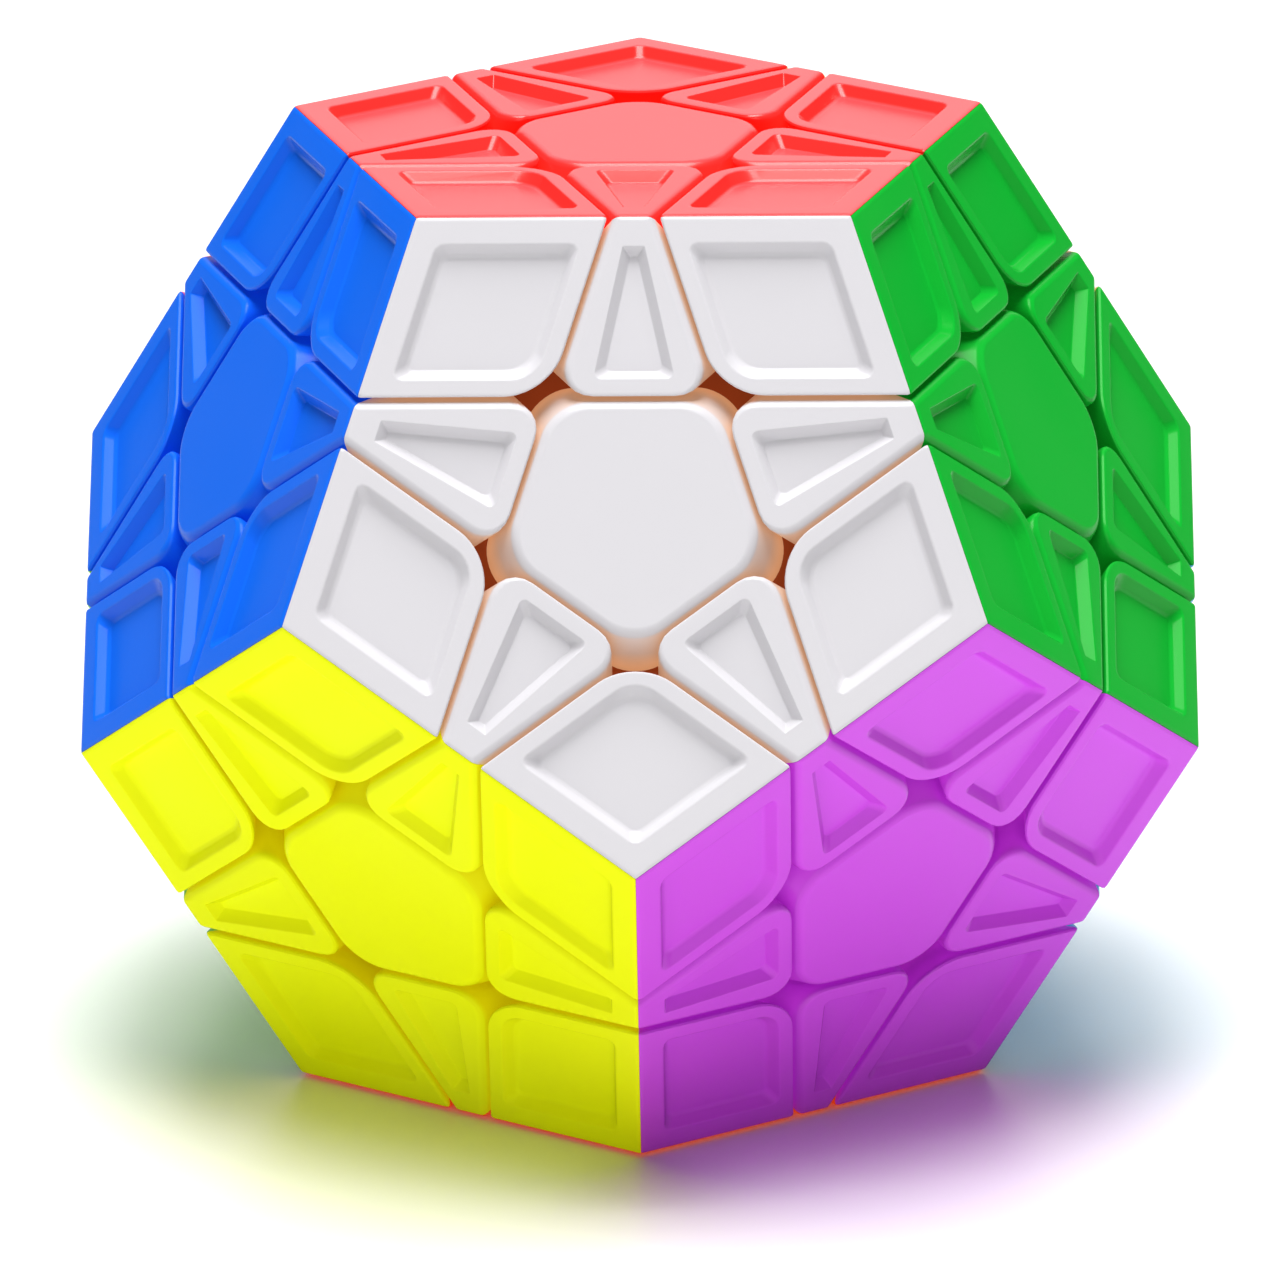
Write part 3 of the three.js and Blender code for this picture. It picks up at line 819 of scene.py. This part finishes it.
def steel(name, tone):
    material = bpy.data.materials.new(name)
    material.use_nodes = True
    tree = material.node_tree
    shader = tree.nodes["Principled BSDF"]
    shader.inputs["Metallic"].default_value = 1
    look = steelLook
    grain = placeGroup(tree, mouldGrain, Grain=look["grain"], Smooth=look["smooth"], Rough=look["rough"],
                       Bump=look["bump"])
    colour = mixColours(tree, grain.outputs["Tint"], rgb(tone), scaled(rgb(tone), look["darker"]))
    tree.links.new(colour, shader.inputs["Base Color"])
    tree.links.new(grain.outputs["Roughness"], shader.inputs["Roughness"])
    tree.links.new(grain.outputs["Normal"], shader.inputs["Normal"])
    return material


gapDepth, tileSlope, mouldGrain = depthGroup(), slopeGroup(), grainGroup()
plastics = {name: tilePlastic(name) for name in faceNames}
screwSteel = steel("screwSteel", steelLook["screw"])
springSteel = steel("springSteel", steelLook["spring"])
print("materials ready")


# placing the pieces

bodyOf = {node: body for body, nodes in frame["record"]["behaviour"]["bodies"].items() for node in nodes}
coreNode = "core_with_orange_centre"


def pieceName(kind, slot):
    return "_".join([kind] + sorted(slot, key=faceNames.index))


def nodeOf(kind, slot):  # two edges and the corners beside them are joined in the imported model
    node = pieceName(kind, slot)
    if node in bodyOf:
        return node
    bright = [face for face in slot if face != "orange"]
    return pieceName("edge", bright) + "_with_corner"


def placePiece(name, mesh, matrix, material, body):
    data = mesh.copy()
    data.name = name
    data.transform(matrix)
    data.materials.clear()
    data.materials.append(material)
    piece = bpy.data.objects.new(name, data)
    bpy.context.scene.collection.objects.link(piece)
    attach(piece, body)
    return piece


def shareOf(mesh, own, others, name):  # the share of a piece that has one face's colour
    bm = bmesh.new()
    bm.from_mesh(mesh)
    for other in others:
        cutAway(bm, axes[other] - axes[own], -puzzle["seam"])
    bmesh.ops.recalc_face_normals(bm, faces=bm.faces)
    return smoothed(toMesh(bm, name))


def placeTiles(kind, slot, mesh, first):  # one share of the piece for each of its faces
    node = nodeOf(kind, slot)
    for i, face in enumerate(slot):
        turn = turnBetween(first, slot[i:] + slot[:i])
        name = f"{pieceName(kind, slot)}_{face}_tile"
        tile = placePiece(name, mesh, turn, plastics[face], bodyOf[node])
        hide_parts(node)


corners, edges = cornerSlots(), edgeSlots()
cornerThird = shareOf(cornerBody(corners[0]), corners[0][0], corners[0][1:], "cornerThird")
for slot in corners:
    placeTiles("corner", slot, cornerThird, corners[0])
print("corner pieces", len(corners))

edgeHalf = shareOf(edgeBody(edges[0]), edges[0][0], edges[0][1:], "edgeHalf")
for slot in edges:
    placeTiles("edge", slot, edgeHalf, edges[0])
print("edge pieces", len(edges))

capMesh, stemMesh = smoothed(capBody()), smoothed(stemBody())
screw, washer = smoothed(screwMesh()), smoothed(washerMesh())
spring = smoothed(springMesh(), math.pi)
for face in faceNames:
    side = along(axes[face], axes[ringOf(face)[0]])
    upright = Matrix((side, axes[face].cross(side), axes[face])).transposed().to_4x4()
    node = "centre_" + face if "centre_" + face in bodyOf else coreNode
    cap = placePiece(f"centre_{face}_cap", capMesh, upright, plastics[face], bodyOf[node])
    stem = placePiece(f"centre_{face}_stem", stemMesh, upright, plastics[face], bodyOf[node])
    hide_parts(node)
    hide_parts(node)
    placePiece(f"screw_{face}", screw, upright, screwSteel, bodyOf[coreNode])
    placePiece(f"spring_{face}", spring, upright, springSteel, bodyOf[node])
    placePiece(f"washer_{face}", washer, upright, screwSteel, bodyOf[node])
core = placePiece("core_block", smoothed(coreMesh()), Matrix.Identity(4), plastics["grey"],
                  bodyOf[coreNode])
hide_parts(coreNode)
print("centres, core, screws, springs and washers")


# floor, light and camera

studio = {
    "floorSize": 6,
    "floorColour": "FAFAFA",
    "floorRoughness": 0.38,
    "floorGap": 0.2 * mm,
    "skyStrength": 0.28,
    "distance": 1.25,
    "azimuth": math.radians(0.752),
    "elevation": math.radians(17.674),
    "roll": math.radians(-0.528),
    "sideways": -0.000747,
    "upwards": -0.003409,
    "lens": 449.4,
    "farthest": 50,
}

bm = bmesh.new()
bmesh.ops.create_grid(bm, x_segments=1, y_segments=1, size=studio["floorSize"] / 2)
bmesh.ops.translate(bm, vec=(0, 0, cadLow.z - studio["floorGap"]), verts=bm.verts)
floor = bpy.data.objects.new("floor", toMesh(bm, "floor"))
bpy.context.scene.collection.objects.link(floor)
floorPaint = bpy.data.materials.new("floorPaint")
floorPaint.use_nodes = True
floorShader = floorPaint.node_tree.nodes["Principled BSDF"]
floorShader.inputs["Base Color"].default_value = rgb(studio["floorColour"])
floorShader.inputs["Roughness"].default_value = studio["floorRoughness"]
floor.data.materials.append(floorPaint)

world = bpy.data.worlds.new("studioSky")
bpy.context.scene.world = world
world.use_nodes = True
sky = world.node_tree.nodes["Background"]
sky.inputs["Strength"].default_value = studio["skyStrength"]

softBoxes = [  # place, size, power: overhead, front, behind, and a small one for the bright edges
    ((0.0, 0.1, 1.6), 1.0, 33),
    ((0.0, -1.9, 0.5), 1.4, 11),
    ((0.0, 1.9, 0.75), 1.6, 7),
    ((0.0, -0.3, 0.9), 0.3, 3.2),
]
for i, (spot, size, power) in enumerate(softBoxes):
    light = bpy.data.lights.new(f"softBox{i}", "AREA")
    light.size = size
    light.energy = power
    lamp = bpy.data.objects.new(f"softBox{i}", light)
    lamp.location = spot
    lamp.rotation_euler = (-Vector(spot)).to_track_quat("-Z", "Y").to_euler()
    bpy.context.scene.collection.objects.link(lamp)

lens = bpy.data.cameras.new("camera")
lens.lens = studio["lens"]
lens.sensor_width = 36
lens.clip_end = studio["farthest"]
camera = bpy.data.objects.new("camera", lens)
bpy.context.scene.collection.objects.link(camera)
az, el, roll = studio["azimuth"], studio["elevation"], studio["roll"]
back = Vector((math.sin(az) * math.cos(el), -math.cos(az) * math.cos(el), math.sin(el)))
right = Vector((math.cos(az), math.sin(az), 0))
up = back.cross(right)
camera.location = back * studio["distance"] + right * studio["sideways"] + up * studio["upwards"]
rolledRight = right * math.cos(roll) + up * math.sin(roll)
rolledUp = up * math.cos(roll) - right * math.sin(roll)
camera.rotation_euler = Matrix((rolledRight, rolledUp, back)).transposed().to_euler()
bpy.context.scene.camera = camera
bpy.context.scene.view_settings.view_transform = "Standard"
print("floor, light and camera")
